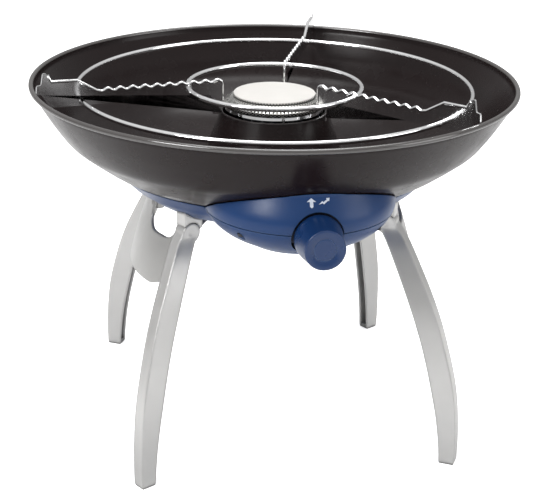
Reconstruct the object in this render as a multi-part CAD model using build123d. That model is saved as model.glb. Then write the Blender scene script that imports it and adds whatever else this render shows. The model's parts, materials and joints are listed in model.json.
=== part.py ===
from build123d import *
import math
import os

# Folding camp grill: a round bowl with a central chimney over a gas burner, standing on a
# plastic base with four legs that fold in under it. Millimetres, +Z up, ground at Z = 0,
# bowl axis on the Z axis, control knob towards -Y.

# ---- bowl ----
RIM_R = 243.1
RIM_Z = 357.6
RIM_BEAD_R = 2.6
BOWL_WALL = 1.2
# underside of the bowl, (radius, height) from the chimney foot out to the rim
BOWL_SIDE = [(115, 262), (140, 266.3), (158, 272), (174.5, 280), (189, 290), (203, 300.6),
             (213.5, 310), (227.5, 330), (239.5, 350), (243.1, 356.5)]
CHIMNEY_TOP_R = 53.4
CHIMNEY_TOP_Z = 326
CHIMNEY_BEAD_R = 1.2

# ---- base dish, outside surface (radius, height) ----
DISH_SIDE = [(125, 245), (136, 250), (143, 255), (150, 260), (155, 265), (160.5, 270),
             (166, 275), (178.5, 282)]
DISH_FLOOR_R = 90
DISH_FLOOR_Z = 237.5
SHELL_WALL = 2.5
BOWL_GAP = 0.5

# ---- nose of the base, round about a vertical axis in front of the middle ----
NOSE_Y = -133
NOSE_SIDE = [(50.5, 240), (59.5, 245), (69, 250), (77.5, 256), (84.5, 263), (89, 270),
             (91.5, 279), (88, 292), (81, 306)]
NOSE_FLOOR_R = 38
NOSE_FLOOR_Z = 236.5
NOSE_TOP_Z = 310
FASCIA_BOSS_R = 83
SEAM_Z = 272.4
SEAM_Y = -220
SEAM_SLOPE = 0.003
SEAM_GAP = 0.9

# ---- knob and valve, axis along Y ----
KNOB_Z = 270.0
KNOB_FACE_Y = -253.2
KNOB_BASE_Y = -221.5
KNOB_BASE_R = 22.6
KNOB_FACE_R = 18.8
KNOB_HOLE_R = 24.0
SPINDLE_R = 3.0
SPINDLE_RUN = 0.06
PUSH_TRAVEL = 3.0
VALVE_FRONT_Y = -208
PIPE_Z = 254.6
PIPE_R = 3.6
INLET_Z = 259
INLET_R = 4.0
INLET_END_Y = 191

# ---- legs, drawn for the rear right one in a frame turned LEG_TURN about the bowl axis ----
LEG_TURN = 30
# centre line of a leg: (height, outwards, across)
LEG_LINE = [(-4, 216.2, 68.4), (20, 215.5, 68.0), (50, 212.1, 66.3), (80, 205.8, 63.1),
            (115, 195.0, 57.6), (145, 183.0, 51.5), (175, 168.0, 44.0), (200, 153.6, 36.4),
            (216, 143.4, 30.6), (226, 135.6, 26.4), (233, 130.4, 26.0)]
LEG_DEPTH = [(-4, 14.8), (80, 22.9), (160, 24.4), (231.5, 20.0)]
LEG_WIDTH = 13.6
LEG_WALL = 2.2
HINGE_OUT = 131.0
HINGE_ACROSS = 26.0
HINGE_Z = 231.5
KNUCKLE_R = 10.0
PIN_R = 2.5
PIN_RUN = 0.06
PIN_COVER = 0.9
RIB_WIDTH = 7.4
RIB_SCREW_OUT = -3.2
GUSSET_WIDTH = 4.6
MIRRORED_LEGS = ("rl", "fr")
FRONT_LEGS = ("fl", "fr")
LEGS = ("fl", "fr", "rl", "rr")

# ---- side handles ----
HANDLE_WALL = 3.0
HANDLE_SIDE = [(124, 256), (134, 222), (141, 200), (146.2, 180), (148.6, 169)]
HANDLE_HALF = 37.0
HANDLE_TOP_HALF = 79.0
HANDLE_LOW_HALF = 88.0
HANDLE_LOW_Z = 169.0
WINDOW_IN = 12.0
WINDOW_OUT = 34.0
WINDOW_Z = 217

# ---- pan support ----
RING_Z = 351.25
RING_WIRE_R = 2.5
OUTER_RING_R = 199
INNER_RING_R = 88
BLADE_ANGLES = {"a": 69, "b": 190, "c": 310}
BLADE_T = 2.0
TOOTH_PITCH = 12.4
TOOTH_TOP = 11.5
TOOTH_ROOT = 8.6
TOOTH_COUNT = 10
BLADE_INNER_R = 55

# ---- burner ----
CAP_R = 42
CAP_TOP_Z = 346
PORT_R = 51
PORT_Z = 336
CUP_R = 46.5
CUP_FLOOR_Z = 296
RISER_R = 11


def at_angle(shape, angle):
    # turn a shape drawn in the X-Z plane about the bowl axis
    return Rot(0, 0, angle) * shape


def plane_xz():
    return Plane(origin=(0, 0, 0), x_dir=(1, 0, 0), z_dir=(0, -1, 0))


def revolve_face(wire_face):
    return revolve(wire_face, Axis.Z, 360)


def shifted(points, distance):
    # the same open curve moved sideways to its left by distance
    result = []
    for i, (x, z) in enumerate(points):
        x0, z0 = points[max(i - 1, 0)]
        x1, z1 = points[min(i + 1, len(points) - 1)]
        length = math.hypot(x1 - x0, z1 - z0)
        result.append((x - distance * (z1 - z0) / length, z + distance * (x1 - x0) / length))
    return result


def xz(points):
    return [Vector(x, 0, z) for x, z in points]


def face_of(edges):
    return make_face(Wire(edges))


def curve(points):
    return Edge.make_spline(xz(points))


def line(a, b):
    return Edge.make_line(Vector(a[0], 0, a[1]), Vector(b[0], 0, b[1]))


def polygon(points):
    closed = points + [points[0]]
    edges = [line(closed[i], closed[i + 1]) for i in range(len(points))]
    return face_of(edges)


def slab(face, thickness):
    # thick plate, centred on the X-Z plane
    return extrude(face, amount=thickness / 2, dir=(0, 1, 0), both=True)


def rod(radius, start, end):
    a = Vector(*start)
    b = Vector(*end)
    return extrude(Plane(origin=a, z_dir=(b - a)) * Circle(radius), amount=(b - a).length)


def tube_along(points, radius, bend):
    path = FilletPolyline(*[Vector(*p) for p in points], radius=bend)
    start = Plane(origin=path @ 0, z_dir=path % 0)
    return sweep(start * Circle(radius), path=path)


def bowl_under(gap):
    # everything above the underside of the bowl, less a gap: used to trim what sits below
    side = shifted(BOWL_SIDE, -gap)
    start = (0, BOWL_SIDE[0][1] - gap)
    top = (side[-1][0] + 10, RIM_Z + 10)
    edges = [line(start, side[0]), curve(side), line(side[-1], top), line(top, (0, top[1])),
             line((0, top[1]), start)]
    return revolve_face(face_of(edges))


def round_face(r, z, radius):
    return Pos(r, 0, z) * Rot(90, 0, 0) * Circle(radius)


def bowl():
    cone = [(CHIMNEY_TOP_R, CHIMNEY_TOP_Z), (66.0, 290), (71.5, 272), (80, 263.2), (92, 262)]
    inside_cone = shifted(cone, BOWL_WALL)
    inside_side = shifted(BOWL_SIDE, BOWL_WALL)
    edges = [curve(cone), line(cone[-1], BOWL_SIDE[0]), curve(BOWL_SIDE),
             line(BOWL_SIDE[-1], inside_side[-1]), curve(inside_side),
             line(inside_side[0], inside_cone[-1]), curve(inside_cone),
             line(inside_cone[0], cone[0])]
    sheet = face_of(edges)
    bead = round_face(RIM_R, RIM_Z, RIM_BEAD_R)
    lip = round_face(CHIMNEY_TOP_R + 0.6, CHIMNEY_TOP_Z, CHIMNEY_BEAD_R)
    section = sheet + bead + lip
    return revolve_face(section)


def dish_solid(offset):
    # solid dish, its outside surface moved outwards by offset
    side = shifted([(DISH_FLOOR_R, DISH_FLOOR_Z)] + DISH_SIDE, -offset)
    side = side[1:]
    floor = DISH_FLOOR_Z - offset
    top = 296
    edges = [line((0, floor), (DISH_FLOOR_R, floor)), line((DISH_FLOOR_R, floor), side[0]),
             curve(side), line(side[-1], (side[-1][0], top)), line((side[-1][0], top), (0, top)),
             line((0, top), (0, floor))]
    return revolve_face(face_of(edges))


def nose_solid(offset):
    side = shifted(NOSE_SIDE, -offset)
    floor = NOSE_FLOOR_Z - offset
    inner = (NOSE_FLOOR_R, floor)
    top = NOSE_TOP_Z
    edges = [line((0, floor), inner), line(inner, side[0]), curve(side),
             line(side[-1], (side[-1][0], top)), line((side[-1][0], top), (0, top)),
             line((0, top), (0, floor))]
    return Pos(0, NOSE_Y, 0) * revolve_face(face_of(edges))


def seam_block(above, gap):
    # half space above or below the sloping seam of the nose
    lift = gap / 2 if above else -gap / 2
    near = SEAM_Z + SEAM_SLOPE * (-260 - SEAM_Y) + lift
    far = SEAM_Z + SEAM_SLOPE * (0 - SEAM_Y) + lift
    edge_z = 400 if above else 150
    corners = [(-260, near), (0, far), (0, edge_z), (-260, edge_z)]
    pts = [Vector(-150, y, z) for y, z in corners]
    face = make_face(Wire.make_polygon(pts, close=True))
    return extrude(face, amount=300, dir=(1, 0, 0))


def knob_hole():
    return rod(KNOB_HOLE_R, (0, -236, KNOB_Z), (0, -200, KNOB_Z))


def vent_slots():
    slots = []
    for i in range(12):
        slot = Pos(54, 0, DISH_FLOOR_Z) * Box(22, 5, 12)
        slots.append(Rot(0, 0, 15 + 30 * i) * slot)
    return slots


def fascia_boss_place(side):
    turn = math.radians(50)
    return side * FASCIA_BOSS_R * math.sin(turn), NOSE_Y - FASCIA_BOSS_R * math.cos(turn)


def leg_frame(leg, shape):
    # from the frame the rear right leg is drawn in to this leg's place
    placed = Rot(0, 0, LEG_TURN) * shape
    if leg in MIRRORED_LEGS:
        placed = mirror(placed, about=Plane.YZ)
    if leg in FRONT_LEGS:
        placed = Rot(0, 0, 180) * placed
    return placed


def at_hinge(shape):
    return Pos(HINGE_OUT, HINGE_ACROSS, HINGE_Z) * shape


def base_shell():
    outer = dish_solid(0)
    nose = nose_solid(0) & seam_block(False, SEAM_GAP)
    inner_dish = dish_solid(-SHELL_WALL)
    inner_nose = nose_solid(-SHELL_WALL)
    shell = (outer + nose) - inner_dish - inner_nose - bowl_under(BOWL_GAP)
    # the dish wall stops at the seam where the front panel takes over
    front_cut = nose_solid(0.3) & seam_block(True, -SEAM_GAP)
    shell = shell - front_cut - knob_hole()
    for slot in vent_slots():
        shell = shell - slot
    for leg in LEGS:
        hole = at_hinge(rod(1.7, (RIB_SCREW_OUT, 0, 8), (RIB_SCREW_OUT, 0, 26)))
        shell = shell - leg_frame(leg, hole)
    for side in (-1, 1):
        x, y = fascia_boss_place(side)
        shell = shell - rod(4.0, (x, y, 240), (x, y, 268))
        for turn in (-8, 8):
            spot = Rot(0, 0, (0 if side > 0 else 180) + turn)
            shell = shell - spot * rod(1.7, (121, 0, 236), (121, 0, 256))
    shell = shell - rod(4.5, (0, 120, INLET_Z), (0, 175, INLET_Z))
    for i in range(3):
        shell = shell - Rot(0, 0, 90 + 120 * i) * rod(1.7, (24, 0, 230), (24, 0, 245))
    for x in (-12, 12):
        shell = shell - rod(1.7, (x, -170, 232), (x, -170, 250))
    return shell


def front_fascia():
    skin = nose_solid(0) - nose_solid(-3.0)
    panel = skin & seam_block(True, SEAM_GAP)
    panel = panel - bowl_under(1.0) - knob_hole()
    # only the part that stands out in front of the dish
    panel = panel - dish_solid(0.4)
    front = Pos(0, -200, 300) * Box(260, 200, 120)
    panel = panel & front
    for side in (-1, 1):
        x, y = fascia_boss_place(side)
        boss = rod(5.4, (x, y, 265.5), (x, y, 286))
        upper = boss & nose_solid(-1.0) & seam_block(True, SEAM_GAP)
        lower = boss & nose_solid(-2.9) & seam_block(False, -3)
        panel = panel + upper + lower
        panel = panel - rod(1.55, (x, y, 260), (x, y, 282)) - bowl_under(1.0)
    return panel


def fascia_screws():
    screws = []
    for side in (-1, 1):
        x, y = fascia_boss_place(side)
        head = rod(3.4, (x, y, 262.4), (x, y, 265.2))
        shank = rod(1.5, (x, y, 265.2), (x, y, 280))
        screws.append(head + shank)
    return Compound(children=screws)


def knob_bezel():
    plate = rod(27.5, (0, -211, KNOB_Z), (0, -209, KNOB_Z))
    plate = plate & nose_solid(-3.4)
    plate = plate - rod(5.4, (0, -215, KNOB_Z), (0, -205, KNOB_Z))
    return plate - bowl_under(1.2)


def control_knob():
    body_line = [(KNOB_FACE_R - 1.6, KNOB_FACE_Y), (KNOB_FACE_R, KNOB_FACE_Y + 2.0),
                 (KNOB_BASE_R - 0.9, -230), (KNOB_BASE_R, KNOB_BASE_Y)]
    hub_r = 7.0
    bore = SPINDLE_R + SPINDLE_RUN
    profile = [(0, KNOB_FACE_Y), body_line[0], body_line[1], body_line[2], body_line[3],
               (KNOB_BASE_R - 2.2, KNOB_BASE_Y), (KNOB_FACE_R - 2.4, KNOB_FACE_Y + 4),
               (hub_r, KNOB_FACE_Y + 4), (hub_r, KNOB_BASE_Y - 2), (bore, KNOB_BASE_Y - 2),
               (bore, KNOB_FACE_Y + 6), (0, KNOB_FACE_Y + 6)]
    pts = [Vector(r, y, 0) for r, y in profile]
    face = make_face(Wire.make_polygon(pts, close=True))
    solid = revolve(face, Axis.Y, 360)
    return Pos(0, 0, KNOB_Z) * solid


def valve_spindle():
    stem = rod(SPINDLE_R, (0, KNOB_FACE_Y + 6.3, KNOB_Z), (0, -199, KNOB_Z))
    collar = rod(4.6, (0, KNOB_BASE_Y - 1.7, KNOB_Z), (0, KNOB_BASE_Y + 0.5, KNOB_Z))
    return stem + collar


def gas_valve():
    neck = rod(5.0, (0, -214, KNOB_Z), (0, VALVE_FRONT_Y, KNOB_Z))
    barrel = rod(9.0, (0, VALVE_FRONT_Y + 0.6, KNOB_Z), (0, -194, KNOB_Z))
    block = Pos(0, -187, 264.7) * Box(18, 14, 30)
    body = neck + barrel + block
    body = body + rod(5.0, (0, VALVE_FRONT_Y, KNOB_Z), (0, VALVE_FRONT_Y + 0.6, KNOB_Z))
    body = body - rod(SPINDLE_R + SPINDLE_RUN, (0, -215, KNOB_Z), (0, -195, KNOB_Z))
    body = body - rod(PIPE_R + 0.05, (0, -184, PIPE_Z), (0, -178, PIPE_Z))
    body = body - rod(PIPE_R + 0.05, (6, -187, PIPE_Z), (12, -187, PIPE_Z))
    return body


def valve_locknut():
    prism = extrude(Plane(origin=(0, -213.6, KNOB_Z), z_dir=(0, 1, 0)) * RegularPolygon(7.5, 6), 2.4)
    return prism - rod(5.05, (0, -216, KNOB_Z), (0, -209, KNOB_Z))


def valve_mount():
    left = Pos(-13.2, -179, 256.5) * Box(7.6, 1.6, 26)
    right = Pos(13.2, -179, 256.5) * Box(7.6, 1.6, 26)
    plate = left + right + (Pos(0, -172.6, 244.3) * Box(34, 14.4, 1.6))
    strap_l = Pos(-10.2, -182.5, 262) * Box(1.6, 8.6, 12)
    strap_r = Pos(10.2, -182.5, 262) * Box(1.6, 8.6, 12)
    plate = plate + strap_l + strap_r
    plate = plate - (Pos(9.5, -187, PIPE_Z) * Box(16, 14, 14))
    for x in (-12, 12):
        plate = plate - rod(1.7, (x, -170, 240), (x, -170, 250))
    return plate


def mount_screws():
    screws = []
    for x in (-12, 12):
        shank = rod(1.5, (x, -170, 240.4), (x, -170, 245.3))
        head = rod(3.2, (x, -170, 245.3), (x, -170, 247.5))
        screws.append(shank + head)
    return Compound(children=screws)


def burner_pipe():
    return rod(PIPE_R, (0, -183.5, PIPE_Z), (0, -RISER_R - 0.3, PIPE_Z))


def supply_pipe():
    points = [(6.4, -187, PIPE_Z), (40, -187, PIPE_Z), (40, 70, PIPE_Z), (0, 100, PIPE_Z),
              (0, 124, PIPE_Z)]
    return tube_along(points, PIPE_R, 12)


def pipe_nuts():
    nuts = []
    spots = [((0, -177.6, PIPE_Z), (0, 1, 0)), ((9.5, -187, PIPE_Z), (1, 0, 0)),
             ((0, 113.5, PIPE_Z), (0, 1, 0))]
    for origin, direction in spots:
        prism = extrude(Plane(origin=origin, z_dir=direction) * RegularPolygon(6.2, 6), 7)
        a = Vector(*origin)
        d = Vector(*direction)
        hole = rod(PIPE_R + 0.05, tuple(a - d), tuple(a + d * 8))
        nuts.append(prism - hole)
    return Compound(children=nuts)


def gas_inlet():
    block = Pos(0, 125.5, 256.2) * Box(11, 9, 10.4)
    shaft = rod(4.2, (0, 129, INLET_Z), (0, 166, INLET_Z)) - bowl_under(BOWL_GAP)
    flange = rod(6.8, (0, 163, INLET_Z), (0, 166, INLET_Z))
    nipple = rod(INLET_R, (0, 166, INLET_Z), (0, INLET_END_Y, INLET_Z))
    body = block + shaft + flange + nipple
    body = body - rod(2.2, (0, 128, INLET_Z), (0, 200, INLET_Z))
    return body - rod(PIPE_R + 0.05, (0, 120, PIPE_Z), (0, 124.3, PIPE_Z))


def inlet_nut():
    prism = extrude(Plane(origin=(0, 157.4, INLET_Z), z_dir=(0, 1, 0)) * RegularPolygon(7.6, 6), 4.6)
    return prism - rod(4.25, (0, 150, INLET_Z), (0, 167, INLET_Z))


def burner_riser():
    tube = rod(RISER_R, (0, 0, 241.9), (0, 0, CUP_FLOOR_Z - 0.2))
    flange = rod(31, (0, 0, 240.2), (0, 0, 241.9))
    body = tube + flange
    body = body - rod(RISER_R - 1.5, (0, 0, 243), (0, 0, 300))
    body = body - rod(PIPE_R + 0.05, (0, -14, PIPE_Z), (0, -6, PIPE_Z))
    for i in range(3):
        body = body - Rot(0, 0, 90 + 120 * i) * rod(1.7, (24, 0, 238), (24, 0, 245))
        window = Rot(0, 0, 30 + 120 * i) * (Pos(RISER_R, 0, 272) * Box(8, 7, 12))
        body = body - window
    return body


def riser_screws():
    screws = []
    for i in range(3):
        shank = rod(1.5, (24, 0, 237.9), (24, 0, 242.1))
        head = rod(3.2, (24, 0, 242.1), (24, 0, 244.4))
        screws.append(Rot(0, 0, 90 + 120 * i) * (shank + head))
    return Compound(children=screws)


def burner_cup():
    outer = [(0, CUP_FLOOR_Z), (30, CUP_FLOOR_Z), (CUP_R, 312), (CUP_R, 325.6),
             (CUP_R - 1.2, 325.6), (CUP_R - 1.2, 312.6), (29.4, CUP_FLOOR_Z + 1.4),
             (0, CUP_FLOOR_Z + 1.4)]
    cup = revolve_face(polygon(outer))
    return cup - rod(9, (0, 0, 290), (0, 0, 300))


def burner_trim_ring():
    ring = [(CUP_R - 1.2, 325.9), (49.4, 325.9), (50.2, 328.6), (49.4, 331.2), (CUP_R - 1.2, 331.2)]
    return revolve_face(polygon(ring)) - rod(1.6, (0, -50.2, 320), (0, -50.2, 331))


def burner_port_ring():
    band = [(CUP_R - 4, 331.5), (49.5, 331.5), (PORT_R, PORT_Z - 2.4), (PORT_R, PORT_Z),
            (CAP_R + 1.5, 341.8), (CAP_R - 1, 341.8), (CAP_R - 1, 339.5), (48.6, 334.6),
            (47.6, 333), (CUP_R - 4, 333)]
    body = revolve_face(polygon(band))
    slot = Pos(47.5, 0, 338.3) * Rot(0, 36, 0) * Box(5.5, 1.1, 8)
    slots = [Rot(0, 0, 10 * i) * slot for i in range(36)]
    return body - slots


def burner_cap():
    edge = CAP_R
    low = 342.1
    profile = [(0, low), (edge - 1, low), (edge, low + 0.8), (edge - 0.8, 344.4), (32, 345.0),
               (20, 345.6), (6, CAP_TOP_Z), (0, CAP_TOP_Z)]
    return revolve_face(polygon(profile))


def electrode_ceramic():
    return rod(1.9, (0, -50.2, 282), (0, -50.2, 318))


def igniter_electrode():
    tip = rod(0.8, (0, -50.2, 318.2), (0, -50.2, 329))
    base = rod(0.8, (0, -50.2, 276), (0, -50.2, 281.8))
    return Compound(children=[tip, base])


def electrode_clip():
    plate = Pos(0, -48.5, 302) * Box(14, 1.4, 18)
    ring = rod(3.2, (0, -50.2, 299), (0, -50.2, 305)) & (Pos(0, -52, 302) * Box(10, 5, 10))
    clip = plate - rod(CUP_R + 0.3, (0, 0, 280), (0, 0, 330))
    clip = clip + (Pos(0, -49.8, 302) * Box(14, 1.6, 18))
    clip = clip - rod(2.0, (0, -50.2, 280), (0, -50.2, 330))
    return clip


def igniter_body():
    body = Pos(-24, -185, 264) * Box(13, 21, 15)
    return body + rod(4.5, (-24, -175.5, 262), (-24, -171, 262))


def igniter_cable():
    points = [(-24, -170.6, 262), (-24, -164, 262), (-24, -150, 253), (-24, -84, 253),
              (-12, -62, 253), (-12, -50.2, 262), (0, -50.2, 268), (0, -50.2, 275.6)]
    return tube_along(points, 1.3, 2.5)


def leg_depth_face(outer_inset, inner_inset):
    # side view of a leg: height against the outwards direction
    outer = []
    inner = []
    for z, out, across in LEG_LINE:
        heights = [h for h, d in LEG_DEPTH]
        depths = [d for h, d in LEG_DEPTH]
        half = interpolate(z, heights, depths) / 2
        outer.append((out + half - outer_inset, z))
        inner.append((out - half + inner_inset, z))
    edges = [curve(outer), line(outer[-1], inner[-1]), curve(inner), line(inner[0], outer[0])]
    return face_of(edges)


def leg_width_face(inset):
    # edge view of a leg: height against the across direction
    half = LEG_WIDTH / 2 - inset
    one = [(across - half, z) for z, out, across in LEG_LINE]
    other = [(across + half, z) for z, out, across in LEG_LINE]
    edges = [curve(one), line(one[-1], other[-1]), curve(other), line(other[0], one[0])]
    return face_of(edges)


def interpolate(value, positions, results):
    for i in range(len(positions) - 1):
        if value <= positions[i + 1]:
            share = (value - positions[i]) / (positions[i + 1] - positions[i])
            return results[i] + (results[i + 1] - results[i]) * share
    return results[-1]


def leg_prism(outer_inset, inner_inset, side_inset):
    deep = Pos(0, 45, 0) * slab(leg_depth_face(outer_inset, inner_inset), 120)
    turned = Rot(0, 0, 90) * slab(leg_width_face(side_inset), 160)
    return deep & (Pos(170, 0, 0) * turned)


def leg_body(leg):
    width = LEG_WIDTH
    inside = LEG_WIDTH - 2 * LEG_WALL
    knuckle = at_hinge(slab(Rot(90, 0, 0) * Circle(KNUCKLE_R), width))
    solid = leg_prism(0, 0, 0) + knuckle
    # hollow, open towards the middle of the grill
    hollow = leg_prism(LEG_WALL, -14, LEG_WALL)
    socket = at_hinge(slab(Rot(90, 0, 0) * Circle(KNUCKLE_R - LEG_WALL), inside))
    gap = at_hinge(Pos(-13.0, 0, 5.5) * Box(32, inside, 17))
    # the knuckle is open on its inner side, so the bracket clears it when the leg folds
    opening = at_hinge(slab(Rot(90, 0, 0) * Circle(KNUCKLE_R + 0.4), inside))
    opening = opening & at_hinge(Pos(-13.0, 0, 0) * Box(32, inside + 2, 40))
    solid = solid - hollow - socket - gap - opening
    solid = solid - (Pos(215, 68, -8.5) * Box(60, 60, 20))
    # the pin sits in blind holes inside the two cheeks
    reach = LEG_WIDTH / 2 - PIN_COVER
    solid = solid - at_hinge(rod(PIN_R + PIN_RUN, (0, -reach, 0), (0, reach, 0)))
    return leg_frame(leg, solid)


def foot_pad(leg):
    plug = leg_prism(LEG_WALL + 0.15, 0.4, LEG_WALL + 0.15)
    plug = plug & (Pos(215, 68, 2.5) * Box(60, 60, 5))
    sole = leg_prism(0.4, 0.4, 0.4) & (Pos(215, 68, 0.65) * Box(60, 60, 1.3))
    return leg_frame(leg, plug + sole)


def leg_bracket(leg):
    # rib from under the dish down to the hinge pin, inside the top of the leg
    eye = slab(Rot(90, 0, 0) * Circle(5.2), RIB_WIDTH)
    web = slab(polygon([(-5.2, 0), (5.2, 0), (2.6, 7), (2.6, 30), (-8.6, 30), (-8.6, 6)]), RIB_WIDTH)
    # gusset behind the leg, thin enough to pass into the folded leg
    gusset = slab(polygon([(-4, 0), (-8, -1.6), (-10, -1.2), (-14.5, 3.4), (-20, 7.2), (-34, 11),
                           (-34, 30), (-4, 30)]), GUSSET_WIDTH)
    gusset = Pos(0, (RIB_WIDTH - GUSSET_WIDTH) / 2, 0) * gusset
    rib = at_hinge(eye + web + gusset)
    rib = rib - at_hinge(rod(PIN_R + 0.02, (0, -20, 0), (0, 20, 0)))
    rib = rib - at_hinge(rod(1.55, (RIB_SCREW_OUT, 0, 8.8), (RIB_SCREW_OUT, 0, 30)))
    return leg_frame(leg, rib) - dish_solid(0.2) - nose_solid(0.2)


def leg_collar(leg):
    # moulded stub between the dish and the top of the leg
    block = at_hinge(Pos(-2.5, 0, 22) * Box(21, LEG_WIDTH, 36))
    block = block - at_hinge(slab(Rot(90, 0, 0) * Circle(KNUCKLE_R + 1.0), 40))
    slot = at_hinge(Pos(-27.0, 0, 20) * Box(60, RIB_WIDTH + 0.6, 60))
    floor = Pos(0, 0, HINGE_Z + 3 + 40) * Box(600, 600, 80)
    block = (block - slot) & floor
    placed = leg_frame(leg, block) - dish_solid(0.2) - nose_solid(0.2)
    solids = sorted(placed.solids(), key=lambda s: s.volume)
    return solids[-1]


def leg_hinge_pins():
    reach = LEG_WIDTH / 2 - PIN_COVER - 0.1
    pins = []
    for leg in LEGS:
        pins.append(leg_frame(leg, at_hinge(rod(PIN_R, (0, -reach, 0), (0, reach, 0)))))
    return Compound(children=pins)


def bracket_screws():
    out = RIB_SCREW_OUT
    screws = []
    for leg in LEGS:
        shank = rod(1.5, (out, 0, 9.2), (out, 0, 21.0))
        head = rod(3.0, (out, 0, 21.0), (out, 0, 23.2))
        screws.append(leg_frame(leg, at_hinge(shank + head)))
    return Compound(children=screws)


def handle_shell(offset_in, low, high):
    side = HANDLE_SIDE
    inner = shifted(side, -HANDLE_WALL)
    edges = [curve(side), line(side[-1], inner[-1]), curve(inner), line(inner[0], side[0])]
    return revolve_face(face_of(edges))


def handle_wedge(angle_a, angle_b, z_low, z_high, corner):
    # a block seen from outside as a rounded rectangle between two angles
    r = 140
    half = r * math.sin(math.radians((angle_b - angle_a) / 2))
    height = z_high - z_low
    sketch = RectangleRounded(2 * half, height, corner)
    plane = Plane(origin=(100, 0, (z_low + z_high) / 2), x_dir=(0, 1, 0), z_dir=(1, 0, 0))
    block = extrude(plane * sketch, amount=70)
    return Rot(0, 0, (angle_a + angle_b) / 2) * block


def handle_taper():
    # the handle narrows upwards to stay clear of the legs
    top = HANDLE_TOP_HALF
    low = HANDLE_LOW_HALF
    corners = [(-top, 300), (-top, 224), (-low, 190), (-low, 150), (low, 150), (low, 190),
               (top, 224), (top, 300)]
    pts = [Vector(100, y, z) for y, z in corners]
    face = make_face(Wire.make_polygon(pts, close=True))
    return extrude(face, amount=70, dir=(1, 0, 0))


def side_handle(angle):
    shell = handle_shell(0, 0, 0)
    body = shell & handle_wedge(-HANDLE_HALF, HANDLE_HALF, HANDLE_LOW_Z, 300, 28)
    body = body & handle_taper()
    for side in (-1, 1):
        a = min(side * WINDOW_IN, side * WINDOW_OUT)
        b = max(side * WINDOW_IN, side * WINDOW_OUT)
        body = body - handle_wedge(a, b, WINDOW_Z, 290, 18)
    for turn in (-8, 8):
        boss = rod(4.6, (121, 0, 233), (121, 0, 252))
        web = Pos(125, 0, 238) * Box(9, 3, 10)
        body = body + Rot(0, 0, turn) * (boss + web)
    body = Rot(0, 0, angle) * body
    body = body - dish_solid(0.2)
    for turn in (-8, 8):
        body = body - Rot(0, 0, angle + turn) * rod(1.55, (121, 0, 236), (121, 0, 252))
    solids = sorted(body.solids(), key=lambda s: s.volume)
    return solids[-1]


def handle_screws():
    screws = []
    for angle in (0, 180):
        for turn in (-8, 8):
            shank = rod(1.5, (121, 0, 236.4), (121, 0, 249.0))
            head = rod(3.0, (121, 0, 249.0), (121, 0, 251.2))
            screws.append(Rot(0, 0, angle + turn) * (shank + head))
    return Compound(children=screws)


def blade_outline():
    top = []
    for i in range(TOOTH_COUNT):
        start = BLADE_INNER_R + 6 + TOOTH_PITCH * i
        top.append((start, TOOTH_TOP))
        top.append((start + TOOTH_PITCH / 2, TOOTH_ROOT))
    points = [(BLADE_INNER_R, -24.0), (BLADE_INNER_R, 9.5)]
    points = points + top
    points = points + [(183.5, 9.8), (203, 21.8), (228, 22.2), (232.5, 30.0), (236, 30.4),
                       (238, 18.5), (242.6, 18.0), (243.2, 9.6), (238.2, 9.5), (230.5, -4.0),
                       (68, -4.0), (66, -24.0)]
    return points


def support_blade(angle):
    plate = slab(polygon(blade_outline()), BLADE_T)
    plate = Pos(0, 0, RING_Z) * plate
    plate = Rot(0, 0, angle) * plate
    plate = plate - (Pos(0, 0, RING_Z) * Torus(OUTER_RING_R, RING_WIRE_R + 0.03))
    return plate - (Pos(0, 0, RING_Z) * Torus(INNER_RING_R, RING_WIRE_R + 0.03))


def support_ring(radius):
    return Pos(0, 0, RING_Z) * Torus(radius, RING_WIRE_R)


def save(shape, name):
    shape.label = name
    export_step(shape, "parts/" + name + ".step")


os.makedirs("parts", exist_ok=True)

save(bowl(), "bowl")
save(base_shell(), "base_shell")
save(front_fascia(), "front_fascia")
save(fascia_screws(), "fascia_screws")
save(knob_bezel(), "knob_bezel")
save(control_knob(), "control_knob")
save(valve_spindle(), "valve_spindle")
save(gas_valve(), "gas_valve")
save(valve_locknut(), "valve_locknut")
save(valve_mount(), "valve_mount")
save(mount_screws(), "mount_screws")
save(burner_pipe(), "burner_pipe")
save(supply_pipe(), "supply_pipe")
save(pipe_nuts(), "pipe_nuts")
save(gas_inlet(), "gas_inlet")
save(inlet_nut(), "inlet_nut")
save(burner_riser(), "burner_riser")
save(riser_screws(), "riser_screws")
save(burner_cup(), "burner_cup")
save(burner_trim_ring(), "burner_trim_ring")
save(burner_port_ring(), "burner_port_ring")
save(burner_cap(), "burner_cap")
save(electrode_ceramic(), "electrode_ceramic")
save(igniter_electrode(), "igniter_electrode")
save(electrode_clip(), "electrode_clip")
save(igniter_body(), "igniter_body")
save(igniter_cable(), "igniter_cable")
save(leg_hinge_pins(), "leg_hinge_pins")
save(bracket_screws(), "bracket_screws")
save(handle_screws(), "handle_screws")
save(side_handle(0), "side_handle_right")
save(side_handle(180), "side_handle_left")
save(support_ring(OUTER_RING_R), "support_outer_ring")
save(support_ring(INNER_RING_R), "support_inner_ring")
for leg in LEGS:
    save(leg_body(leg), "leg_" + leg)
    save(foot_pad(leg), "foot_pad_" + leg)
    save(leg_bracket(leg), "leg_bracket_" + leg)
    save(leg_collar(leg), "leg_collar_" + leg)
for blade in BLADE_ANGLES:
    save(support_blade(BLADE_ANGLES[blade]), "support_blade_" + blade)
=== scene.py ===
import bpy
import json
import math
from mathutils import Vector, Matrix


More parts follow.
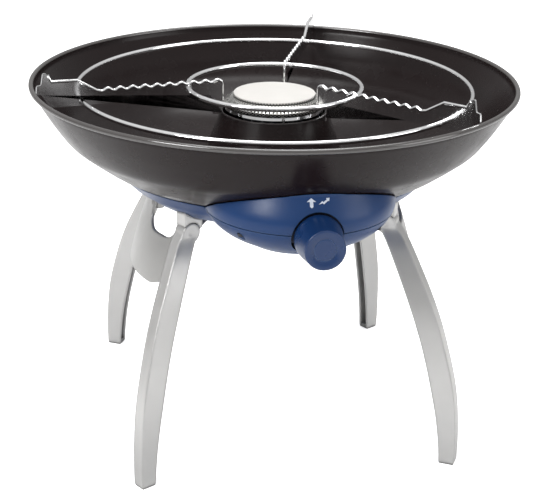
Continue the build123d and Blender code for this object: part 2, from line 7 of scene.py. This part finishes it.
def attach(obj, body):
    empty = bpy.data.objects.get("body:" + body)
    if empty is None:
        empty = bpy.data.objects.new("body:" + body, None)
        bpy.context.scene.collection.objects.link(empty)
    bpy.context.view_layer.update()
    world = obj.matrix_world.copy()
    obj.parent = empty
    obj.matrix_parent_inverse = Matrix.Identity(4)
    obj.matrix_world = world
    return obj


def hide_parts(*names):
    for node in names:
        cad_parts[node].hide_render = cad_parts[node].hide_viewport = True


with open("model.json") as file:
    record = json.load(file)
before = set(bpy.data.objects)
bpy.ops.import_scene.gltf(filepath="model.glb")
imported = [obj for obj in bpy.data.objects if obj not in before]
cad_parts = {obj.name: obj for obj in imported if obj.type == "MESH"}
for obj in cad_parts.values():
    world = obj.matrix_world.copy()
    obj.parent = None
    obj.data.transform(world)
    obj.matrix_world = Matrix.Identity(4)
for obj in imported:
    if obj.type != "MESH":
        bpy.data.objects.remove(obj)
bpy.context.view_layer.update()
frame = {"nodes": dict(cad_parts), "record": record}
MM = 0.001
scene = bpy.context.scene

# ---------------------------------------------------------------- sizes, in mm
RIM_R = 243.1
RIM_Z = 357.6
BEAD_R = 2.6
WALL = 1.2
BOWL_SIDE = [(115, 262), (140, 266.3), (158, 272), (174.5, 280), (189, 290), (203, 300.6),
             (213.5, 310), (227.5, 330), (239.5, 350), (243.1, 356.5)]
CONE = [(53.4, 326), (66.0, 290), (71.5, 272), (80, 263.2), (92, 262)]
NOSE_Y = -133
NOSE_SIDE = [(38, 236.5), (50.5, 240), (59.5, 245), (69, 250), (77.5, 256), (84.5, 263), (89, 270),
             (91.5, 279), (88, 292), (81, 306)]
KNOB_Z = 270.0
RING_Z = 351.25
OUTER_RING_R = 199
INNER_RING_R = 88
BLADES = {"a": 69, "b": 190, "c": 310}
WIRE_R = 2.55
WELD_R = 3.1
BLADE_HALF = 1.15
BLADE_BEAD_R = 1.7
TOOTH_PITCH = 12.4
TOOTH_HEIGHT = 1.25
MARK_PROUD = 0.35
MARK_THICK = 0.5

# surface looks, in metres where they have a length
BUMP_DEPTH = 0.0002
ROUGH_SPREAD = 0.06
SCRATCH_STREAK = (400, 400, 20)
PORT_COUNT = 84
PORT_ROW = 0.0030
PORT_LOW = 0.3322
CAP_TEETH_TOP = 0.34385


# ---------------------------------------------------------------- material helpers
class Shader:
    """Small wrapper for building a node tree."""

    def __init__(self, name):
        self.mat = bpy.data.materials.new(name)
        self.mat.use_nodes = True
        self.tree = self.mat.node_tree
        self.tree.nodes.clear()
        self.out = self.add("ShaderNodeOutputMaterial")
        self.bsdf = self.add("ShaderNodeBsdfPrincipled")
        self.link(self.bsdf.outputs[0], self.out.inputs["Surface"])
        self.coord = self.add("ShaderNodeTexCoord").outputs["Object"]

    def add(self, kind, **props):
        node = self.tree.nodes.new(kind)
        for key, value in props.items():
            setattr(node, key, value)
        return node

    def link(self, a, b):
        self.tree.links.new(a, b)

    def set(self, **values):
        for key, value in values.items():
            self.bsdf.inputs[key.replace("_", " ")].default_value = value

    def mapped(self, scale):
        node = self.add("ShaderNodeMapping")
        node.inputs["Scale"].default_value = scale
        self.link(self.coord, node.inputs["Vector"])
        return node.outputs[0]

    def noise(self, scale, detail=3.0, rough=0.55, vector=None):
        node = self.add("ShaderNodeTexNoise")
        node.inputs["Scale"].default_value = scale
        node.inputs["Detail"].default_value = detail
        node.inputs["Roughness"].default_value = rough
        self.link(vector or self.coord, node.inputs["Vector"])
        return node.outputs[0]

    def ramp(self, value, stops):
        node = self.add("ShaderNodeValToRGB")
        ramp = node.color_ramp
        while len(ramp.elements) < len(stops):
            ramp.elements.new(0.5)
        for element, (pos, color) in zip(ramp.elements, stops):
            element.position = pos
            if not isinstance(color, (tuple, list)):
                color = (color, color, color)
            element.color = (*color[:3], 1)
        self.link(value, node.inputs[0])
        return node.outputs[0]

    def math(self, op, a, b=None):
        node = self.add("ShaderNodeMath", operation=op)
        for socket, value in zip(node.inputs, (a, b)):
            if value is None:
                continue
            if isinstance(value, (int, float)):
                socket.default_value = value
            else:
                self.link(value, socket)
        return node.outputs[0]

    def mix(self, factor, a, b, blend="MIX"):
        node = self.add("ShaderNodeMix", data_type="RGBA", blend_type=blend)
        for socket, value in ((node.inputs[0], factor), (node.inputs[6], a), (node.inputs[7], b)):
            if isinstance(value, (int, float)):
                socket.default_value = value
            elif isinstance(value, (tuple, list)):
                socket.default_value = (*value[:3], 1)
            else:
                self.link(value, socket)
        return node.outputs[2]

    def bump(self, height, strength):
        node = self.add("ShaderNodeBump")
        node.inputs["Strength"].default_value = strength
        node.inputs["Distance"].default_value = BUMP_DEPTH
        self.link(height, node.inputs["Height"])
        self.link(node.outputs[0], self.bsdf.inputs["Normal"])

    def edge(self, radius):
        """1 on convex edges, 0 elsewhere."""
        bevel = self.add("ShaderNodeBevel", samples=4)
        bevel.inputs["Radius"].default_value = radius
        geo = self.add("ShaderNodeNewGeometry")
        dot = self.add("ShaderNodeVectorMath", operation="DOT_PRODUCT")
        self.link(bevel.outputs[0], dot.inputs[0])
        self.link(geo.outputs["Normal"], dot.inputs[1])
        return self.ramp(dot.outputs["Value"], [(0.80, 1.0), (0.97, 0.0)])


def satin(name, color, rough, grain=900.0, strength=0.12, metal=0.0, edge_highlight=None, variation=0.06):
    """Painted, enamelled or moulded surface, optionally lighter along convex edges as a painted
    highlight.
    """
    sh = Shader(name)
    broad = sh.noise(9.0, 4.0)
    fine = sh.noise(grain, 2.0)
    dark = tuple(c * (1 - variation) for c in color)
    light = tuple(min(1, c * (1 + variation)) for c in color)
    base = sh.mix(sh.ramp(broad, [(0.35, 0.0), (0.65, 1.0)]), dark, light)
    # convex edges are lightened towards this colour: a painted edge highlight
    if edge_highlight:
        base = sh.mix(sh.math("MULTIPLY", sh.edge(0.0012), 0.55), base, edge_highlight)
    sh.link(base, sh.bsdf.inputs["Base Color"])
    spread = [(0.3, rough - ROUGH_SPREAD), (0.7, rough + ROUGH_SPREAD)]
    sh.link(sh.ramp(sh.noise(35.0, 3.0), spread), sh.bsdf.inputs["Roughness"])
    sh.set(Metallic=metal)
    sh.bump(fine, strength)
    return sh


def round_edges(sh, radius):
    """Rounds the shading of hard edges."""
    bevel = sh.add("ShaderNodeBevel", samples=6)
    bevel.inputs["Radius"].default_value = radius
    for link in list(sh.bsdf.inputs["Normal"].links):
        sh.link(bevel.outputs[0], link.from_node.inputs["Normal"])
    return sh


def metal(name, color, rough, scratch=0.1):
    """Bare or plated metal with fine upright scratches."""
    sh = Shader(name)
    lines = sh.noise(1.0, 3.0, vector=sh.mapped(SCRATCH_STREAK))
    spots = sh.noise(60.0, 4.0)
    base = sh.mix(sh.ramp(spots, [(0.4, 0.0), (0.7, 1.0)]), color, tuple(c * 0.9 for c in color))
    sh.link(base, sh.bsdf.inputs["Base Color"])
    sh.link(sh.ramp(lines, [(0.3, max(0.02, rough - 0.05)), (0.7, rough + 0.06)]),
            sh.bsdf.inputs["Roughness"])
    sh.set(Metallic=1.0)
    sh.bump(lines, scratch)
    return sh


# ---------------------------------------------------------------- materials
M = {}
# bowl enamel: convex edges lightened, a painted highlight along the rim
enamel = satin("bowl_enamel", (0.0105, 0.0062, 0.0062), 0.25, grain=1400, strength=0.06,
               edge_highlight=(0.10, 0.09, 0.09))
enamel.bsdf.inputs["Specular IOR Level"].default_value = 0.20
M["bowl_enamel"] = enamel.mat
# rim bead: lighter colour than the enamel as a painted highlight line, plus a stronger, sharper
# real shine
rim = satin("bowl_rim_highlight", (0.05, 0.045, 0.043), 0.14, grain=1400, strength=0.03)
rim.bsdf.inputs["Specular IOR Level"].default_value = 1.0
M["bowl_rim_highlight"] = rim.mat
# blue moulding: lighter blue on convex edges, a painted edge highlight
blue = round_edges(satin("blue_plastic", (0.006, 0.036, 0.130), 0.34, grain=1600, strength=0.20,
                         edge_highlight=(0.05, 0.12, 0.25)), 0.0012)
blue.bsdf.inputs["Specular IOR Level"].default_value = 0.34
M["blue_plastic"] = blue.mat
# knob: lighter blue on convex edges, a painted edge highlight
M["blue_knob"] = round_edges(satin("blue_knob", (0.005, 0.028, 0.105), 0.30, grain=1200,
                                   strength=0.08, edge_highlight=(0.07, 0.15, 0.32)), 0.0010).mat
M["navy_plastic"] = satin("navy_plastic", (0.006, 0.009, 0.030), 0.5).mat
M["leg_silver"] = round_edges(satin("leg_silver", (0.53, 0.525, 0.515), 0.34, grain=900,
                                    strength=0.40, metal=0.55, variation=0.06), 0.0034).mat
# side handles: a darker copy of the leg silver, painted shade for handles that sit in shadow
M["handle_silver_shaded"] = round_edges(satin("handle_silver_shaded", (0.40, 0.395, 0.385), 0.34, grain=900,
                                       strength=0.40, metal=0.6, variation=0.07), 0.0030).mat
M["chrome"] = metal("chrome", (0.96, 0.96, 0.965), 0.07, 0.03).mat
M["blade_chrome"] = metal("blade_chrome", (0.95, 0.95, 0.955), 0.10, 0.05).mat
M["brass"] = metal("brass", (0.72, 0.52, 0.22), 0.30).mat
# burner black: lighter on convex edges, a painted edge highlight
M["burner_black"] = satin("burner_black", (0.018, 0.017, 0.016), 0.55, edge_highlight=(0.2, 0.18, 0.16)).mat
M["black_steel"] = satin("black_steel", (0.012, 0.013, 0.02), 0.5).mat


def round_pattern(sh, count):
    """Sine of the angle about the bowl axis, and the height in metres."""
    split = sh.add("ShaderNodeSeparateXYZ")
    sh.link(sh.coord, split.inputs[0])
    angle = sh.math("ARCTAN2", split.outputs[1], split.outputs[0])
    return sh.math("SINE", sh.math("MULTIPLY", angle, count)), split.outputs[2]


def perforated(name):
    sh = metal(name, (0.70, 0.69, 0.66), 0.30, 0.15)
    around, height = round_pattern(sh, PORT_COUNT)
    rows = sh.math("SINE", sh.math("MULTIPLY", height, 2 * math.pi / PORT_ROW))
    holes = sh.math("GREATER_THAN", sh.math("MULTIPLY", around, rows), 0.10)
    low = sh.math("GREATER_THAN", height, PORT_LOW)
    mask = sh.math("MULTIPLY", holes, low)
    plain = sh.bsdf.inputs["Base Color"].links[0].from_socket
    sh.link(sh.mix(mask, plain, (0.008, 0.007, 0.006)), sh.bsdf.inputs["Base Color"])
    return sh


def cast_cap(name):
    sh = satin(name, (0.56, 0.545, 0.52), 0.62, grain=800, strength=0.45, variation=0.07)
    around, height = round_pattern(sh, PORT_COUNT)
    teeth = sh.math("MULTIPLY", sh.math("GREATER_THAN", around, -0.15),
                    sh.math("LESS_THAN", height, CAP_TEETH_TOP))
    plain = sh.bsdf.inputs["Base Color"].links[0].from_socket
    sh.link(sh.mix(teeth, plain, (0.012, 0.011, 0.010)), sh.bsdf.inputs["Base Color"])
    return sh


M["burner_steel"] = perforated("burner_steel").mat
M["burner_white"] = cast_cap("burner_white").mat
M["zinc_steel"] = metal("zinc_steel", (0.55, 0.55, 0.54), 0.35, 0.15).mat
M["aluminium_pipe"] = metal("aluminium_pipe", (0.72, 0.72, 0.73), 0.32, 0.1).mat
M["rubber"] = satin("rubber", (0.020, 0.020, 0.020), 0.8, grain=500, strength=0.4).mat
M["black_plastic"] = satin("black_plastic", (0.016, 0.016, 0.016), 0.5).mat
M["grey_rubber"] = satin("grey_rubber", (0.20, 0.20, 0.195), 0.7, grain=500, strength=0.4).mat
M["ceramic"] = satin("ceramic", (0.80, 0.78, 0.72), 0.30, strength=0.05).mat
M["icon_white"] = satin("icon_white", (0.60, 0.65, 0.74), 0.5, strength=0.02).mat

slots = {s["node"]: s["material_slot"] for s in frame["record"]["subparts"]}


def paint(obj, slot):
    obj.data.materials.clear()
    obj.data.materials.append(M[slot])


def sharp_smooth(obj, angle=30):
    """Smooth faces, hard edges where the angle is larger than this."""
    mesh = obj.data
    mesh.shade_smooth()
    mesh.set_sharp_from_angle(angle=math.radians(angle))


for name, node in frame["nodes"].items():
    # side handles get the darker silver: painted shade on the same metal as the legs
    paint(node, "handle_silver_shaded" if name.startswith("side_handle") else slots[name])
    sharp_smooth(node, 30)


# ---------------------------------------------------------------- mesh helpers
def new_mesh(name, verts, faces, scale=MM):
    mesh = bpy.data.meshes.new(name)
    mesh.from_pydata([tuple(c * scale for c in v) for v in verts], [], faces)
    mesh.update()
    mesh.validate()
    obj = bpy.data.objects.new(name, mesh)
    scene.collection.objects.link(obj)
    return obj


def dense(points, count):
    """Catmull-Rom curve through the points, evenly cut."""
    pts = [Vector((p[0], p[1])) for p in points]
    ext = [pts[0] * 2 - pts[1]] + pts + [pts[-1] * 2 - pts[-2]]
    fine = []
    for i in range(1, len(ext) - 2):
        p0, p1, p2, p3 = ext[i - 1:i + 3]
        for k in range(24):
            t = k / 24
            fine.append(0.5 * ((2 * p1) + (p2 - p0) * t + (2 * p0 - 5 * p1 + 4 * p2 - p3) * t * t
                               + (3 * p1 - p0 - 3 * p2 + p3) * t ** 3))
    fine.append(pts[-1])
    lengths = [0.0]
    for a, b in zip(fine, fine[1:]):
        lengths.append(lengths[-1] + (b - a).length)
    result = []
    j = 0
    for i in range(count + 1):
        want = lengths[-1] * i / count
        while j < len(fine) - 2 and lengths[j + 1] < want:
            j += 1
        span = lengths[j + 1] - lengths[j] or 1
        t = (want - lengths[j]) / span
        p = fine[j].lerp(fine[j + 1], min(max(t, 0), 1))
        result.append((p.x, p.y))
    return result


def offset(points, distance):
    result = []
    for i, (x, z) in enumerate(points):
        x0, z0 = points[max(i - 1, 0)]
        x1, z1 = points[min(i + 1, len(points) - 1)]
        length = math.hypot(x1 - x0, z1 - z0) or 1
        result.append((x - distance * (z1 - z0) / length, z + distance * (x1 - x0) / length))
    return result


def lathe(name, profile, steps):
    """Turns a closed (r, z) outline about the vertical."""
    verts = []
    n = len(profile)
    for i in range(steps):
        a = 2 * math.pi * i / steps
        c, s = math.cos(a), math.sin(a)
        for r, z in profile:
            verts.append((r * c, r * s, z))
    faces = []
    for i in range(steps):
        j = (i + 1) % steps
        for k in range(n):
            m = (k + 1) % n
            faces.append((i * n + k, j * n + k, j * n + m, i * n + m))
    return new_mesh(name, verts, faces)


def arc(cx, cz, r, a0, a1, count):
    return [(cx + r * math.cos(math.radians(a0 + (a1 - a0) * i / count)),
             cz + r * math.sin(math.radians(a0 + (a1 - a0) * i / count))) for i in range(count + 1)]


def finish_piece(obj, slot, body, *nodes, angle=30):
    """Paints a piece, sets it on its body and hides the CAD nodes it stands for."""
    paint(obj, slot)
    sharp_smooth(obj, angle)
    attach(obj, body)
    if nodes:
        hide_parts(*nodes)
    return obj


# ---------------------------------------------------------------- bowl, smooth spun sheet
def make_bowl():
    under = dense(BOWL_SIDE[:-1] + [(241.5, 353.6)], 70)
    cone = dense(CONE, 36)
    path = cone + under
    top = offset(path, WALL)
    outline = list(path)
    # rolled bead, from the outside round the top to the inside
    bead = arc(RIM_R, RIM_Z, BEAD_R, -120, 172, 30)
    outline += bead
    outline += list(reversed(top))
    lip = arc(54.2, 326.2, 1.25, 20, 200, 12)
    outline += lip
    bowl = lathe("bowl_spun", outline, 256)
    finish_piece(bowl, "bowl_enamel", "bowl", "bowl", angle=50)
    # the rolled bead faces take the lighter rim material, a painted highlight line
    bowl.data.materials.append(M["bowl_rim_highlight"])
    first, last = len(path) + 6, len(path) + 29
    for poly in bowl.data.polygons:
        if first <= poly.index % len(outline) <= last:
            poly.material_index = 1


make_bowl()


# ---------------------------------------------------------------- pan support: wire and blades
def tube(path, radius, sides=12, closed=False):
    """Verts and faces of a round tube along a path of 3-D points."""
    verts, faces = [], []
    count = len(path)
    pts = [Vector(p) for p in path]
    frame_up = None
    for i, p in enumerate(pts):
        before = pts[i - 1] if (i > 0 or closed) else p
        after = pts[(i + 1) % count] if (i < count - 1 or closed) else p
        along = (after - before).normalized()
        if frame_up is None:
            frame_up = Vector((0, 0, 1)) if abs(along.z) < 0.9 else Vector((1, 0, 0))
        side = along.cross(frame_up).normalized()
        frame_up = side.cross(along).normalized()
        for k in range(sides):
            a = 2 * math.pi * k / sides
            verts.append(p + side * (radius * math.cos(a)) + frame_up * (radius * math.sin(a)))
    for i in range(count if closed else count - 1):
        j = (i + 1) % count
        for k in range(sides):
            m = (k + 1) % sides
            faces.append((i * sides + k, i * sides + m, j * sides + m, j * sides + k))
    if not closed:
        faces.append(tuple(range(sides - 1, -1, -1)))
        faces.append(tuple((count - 1) * sides + k for k in range(sides)))
    return verts, faces


def merge(*parts):
    verts, faces = [], []
    for v, f in parts:
        base = len(verts)
        verts += v
        faces += [tuple(i + base for i in face) for face in f]
    return verts, faces


def ball(place, radius, flat=1.0, rings=6, sides=12):
    verts, faces = [], []
    for i in range(rings + 1):
        t = math.pi * i / rings
        for k in range(sides):
            a = 2 * math.pi * k / sides
            verts.append(Vector(place) + Vector((radius * math.sin(t) * math.cos(a),
                                                 radius * math.sin(t) * math.sin(a),
                                                 flat * radius * math.cos(t))))
    for i in range(rings):
        for k in range(sides):
            m = (k + 1) % sides
            faces.append((i * sides + k, (i + 1) * sides + k, (i + 1) * sides + m, i * sides + m))
    return verts, faces


def rounded(points, radius, count=5):
    """Closed outline with its corners rounded."""
    result = []
    n = len(points)
    for i in range(n):
        p = Vector(points[i])
        a = Vector(points[i - 1]) - p
        b = Vector(points[(i + 1) % n]) - p
        cut = min(radius, a.length * 0.45, b.length * 0.45)
        start = p + a.normalized() * cut
        end = p + b.normalized() * cut
        for k in range(count + 1):
            t = k / count
            q = start.lerp(p, t).lerp(p.lerp(end, t), t)
            result.append((q.x, q.y))
    return result


def blade_wave():
    """Top edge of a blade: a row of soft waves."""
    points = []
    for i in range(0, 122):
        r = 60 + i
        wave = math.cos(2 * math.pi * (r - 61) / TOOTH_PITCH)
        points.append((r, 10.0 + TOOTH_HEIGHT * wave))
    return points


def make_rings():
    rings = (("support_outer_ring", OUTER_RING_R), ("support_inner_ring", INNER_RING_R))
    for name, radius in rings:
        path = [(radius * math.cos(2 * math.pi * i / 256), radius * math.sin(2 * math.pi * i / 256),
                 RING_Z) for i in range(256)]
        verts, faces = tube(path, WIRE_R, 14, closed=True)
        # weld beads where the blades cross
        beads = []
        for angle in BLADES.values():
            for turn in (-1.0, 1.0):
                a = math.radians(angle) + turn * 1.9 / radius
                place = (radius * math.cos(a), radius * math.sin(a), RING_Z - 0.4)
                beads.append(ball(place, WELD_R, 0.9))
        ring = new_mesh(name + "_wire", *merge((verts, faces), *beads))
        finish_piece(ring, "chrome", "pan_support", name, angle=60)


def make_blades():
    half = BLADE_HALF
    wave = blade_wave()
    tail = [(184, 9.6), (203, 21.4), (228, 21.8), (232.5, 29.6), (236, 30.0), (238, 18.5),
            (242.4, 18.0), (243.0, 9.6), (238.2, 9.5), (230.5, -4.0), (68, -4.0)]
    inner = rounded([(66, -24), (55, -24), (55, 9.5)], 1.2)[6:12]
    plate = [(66, -24)] + inner + [(55, 9.5)] + wave + rounded(tail, 1.4)
    n = len(plate)
    verts = [(x, -half, RING_Z + z) for x, z in plate] + [(x, half, RING_Z + z) for x, z in plate]
    faces = [tuple(range(n)), tuple(range(2 * n - 1, n - 1, -1))]
    faces += [(i, i + n, (i + 1) % n + n, (i + 1) % n) for i in range(n)]
    # rolled bead along the working edge
    line = [(56.2, -12), (56.2, 7.4), (56.9, 9.8), (58.4, 10.8)] + wave
    line += [(184, 10.0), (203, 21.3), (228, 21.6), (231.2, 28.2)]
    rail = [(x, 0, RING_Z + z - 0.6) for x, z in line]
    bead = tube(rail, BLADE_BEAD_R, 10)
    verts, faces = merge(([Vector(v) for v in verts], faces), bead)
    for key, angle in BLADES.items():
        turn = Matrix.Rotation(math.radians(angle), 3, "Z")
        blade = new_mesh("support_blade_" + key + "_plate", [turn @ v for v in verts], faces)
        finish_piece(blade, "blade_chrome", "pan_support", "support_blade_" + key, angle=40)


make_rings()
make_blades()


# ---------------------------------------------------------------- marks above the knob
def nose_point(x, z):
    """Point just in front of the nose at this place."""
    r = NOSE_SIDE[-1][0]
    for (r0, z0), (r1, z1) in zip(NOSE_SIDE, NOSE_SIDE[1:]):
        if z0 <= z <= z1:
            r = r0 + (r1 - r0) * (z - z0) / (z1 - z0)
    r += MARK_PROUD
    return x, NOSE_Y - math.sqrt(r * r - x * x), z


def make_marks():
    shapes = []
    # arrow
    shapes.append([(-10.0, 302.5), (-5.9, 305.6), (-1.8, 302.5), (-4.4, 302.7), (-4.4, 298.6),
                   (-5.9, 297.6), (-7.4, 298.6), (-7.4, 302.7)])
    # spark
    shapes.append([(0.8, 300.4), (4.2, 303.0), (4.8, 301.9), (8.2, 304.0), (7.6, 305.1),
                   (10.8, 305.1), (10.2, 302.3), (9.4, 303.0), (5.2, 300.2), (4.5, 301.3)])
    verts, faces = [], []
    for shape in shapes:
        base = len(verts)
        front = [Vector(nose_point(x, z)) for x, z in shape]
        verts += front + [v + Vector((0, MARK_THICK, 0)) for v in front]
        n = len(front)
        faces.append(tuple(base + i for i in range(n)))
        faces.append(tuple(base + 2 * n - 1 - i for i in range(n)))
        for i in range(n):
            j = (i + 1) % n
            faces.append((base + i, base + i + n, base + j + n, base + j))
    marks = new_mesh("knob_marks", verts, faces)
    paint(marks, "icon_white")
    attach(marks, "base")


make_marks()


# ---------------------------------------------------------------- knob, turned about its own axis
def make_knob():
    profile = [(0.01, -252.1), (9.6, -252.1), (10.3, -251.5), (11.0, -252.1), (16.4, -253.0)]
    profile += arc(17.3, -251.5, 1.55, -100, 0, 8)
    profile += [(19.3, -247.0), (20.6, -238.0), (21.9, -229.0), (22.45, -223.2), (22.2, -221.6),
                (20.3, -221.6), (16.2, -248.6), (0.01, -248.6)]
    knob = lathe("control_knob_turned", profile, 96)
    for v in knob.data.vertices:
        x, y, z = v.co
        v.co = (x, z, KNOB_Z * MM + y)
    knob.data.flip_normals()
    finish_piece(knob, "blue_knob", "knob", "control_knob", angle=35)


make_knob()


# ---------------------------------------------------------------- floor, light, camera
def make_stage():
    floor = new_mesh("floor", [(-6, -6, 0), (6, -6, 0), (6, 6, 0), (-6, 6, 0)], [(0, 1, 2, 3)], 1)
    sh = Shader("floor")
    sh.link(sh.ramp(sh.noise(3.0), [(0.3, 0.90), (0.7, 0.92)]), sh.bsdf.inputs["Base Color"])
    sh.set(Roughness=0.9)
    sh.bsdf.inputs["Specular IOR Level"].default_value = 0.0
    seen = sh.add("ShaderNodeLightPath").outputs["Is Camera Ray"]
    sh.bsdf.inputs["Emission Color"].default_value = (1, 1, 1, 1)
    sh.link(sh.math("MULTIPLY", seen, 0.62), sh.bsdf.inputs["Emission Strength"])
    floor.data.materials.append(sh.mat)

    # white for the eye; a soft studio gradient for reflections and light
    world = bpy.data.worlds.new("studio")
    scene.world = world
    world.use_nodes = True
    tree = world.node_tree
    back = tree.nodes["Background"]
    coord = tree.nodes.new("ShaderNodeTexCoord")
    split = tree.nodes.new("ShaderNodeSeparateXYZ")
    ramp = tree.nodes.new("ShaderNodeValToRGB")
    ramp.color_ramp.elements[0].position = 0.0
    ramp.color_ramp.elements[0].color = (0.36, 0.36, 0.36, 1)
    ramp.color_ramp.elements[1].position = 0.8
    ramp.color_ramp.elements[1].color = (0.80, 0.80, 0.80, 1)
    path = tree.nodes.new("ShaderNodeLightPath")
    mix = tree.nodes.new("ShaderNodeMix")
    mix.data_type = "RGBA"
    mix.inputs[7].default_value = (1, 1, 1, 1)
    tree.links.new(coord.outputs["Generated"], split.inputs[0])
    tree.links.new(split.outputs["Z"], ramp.inputs[0])
    tree.links.new(path.outputs["Is Camera Ray"], mix.inputs[0])
    tree.links.new(ramp.outputs[0], mix.inputs[6])
    tree.links.new(mix.outputs[2], back.inputs[0])
    back.inputs[1].default_value = 1.0

    def area(name, place, aim, size, power):
        light = bpy.data.lights.new(name, "AREA")
        light.shape = "RECTANGLE"
        light.size = size
        light.size_y = size
        light.energy = power
        obj = bpy.data.objects.new(name, light)
        scene.collection.objects.link(obj)
        obj.location = place
        direction = Vector(aim) - Vector(place)
        obj.rotation_euler = direction.to_track_quat("-Z", "Y").to_euler()

    area("key", (-1.9, -1.3, 1.9), (0, 0, 0.25), 1.0, 42)
    area("top", (0.2, 0.5, 2.6), (0, 0, 0.3), 1.6, 40)
    area("fill", (2.0, -1.2, 1.0), (0, 0, 0.2), 1.2, 13)


make_stage()

cam_data = bpy.data.cameras.new("camera")
cam_data.lens = 95.0
cam_data.sensor_width = 36
cam_data.clip_start = 0.05
cam = bpy.data.objects.new("camera", cam_data)
scene.collection.objects.link(cam)
right = Vector((0.98305, -0.18246, 0.01775)).normalized()
up = Vector((0.05043, 0.36224, 0.93072)).normalized()
back = right.cross(up).normalized()
up = back.cross(right).normalized()
pose = Matrix((right, up, back)).transposed().to_4x4()
pose.translation = Vector((-0.2667, -1.4019, 0.7317))
cam.matrix_world = pose
scene.camera = cam
scene.view_settings.view_transform = "Standard"
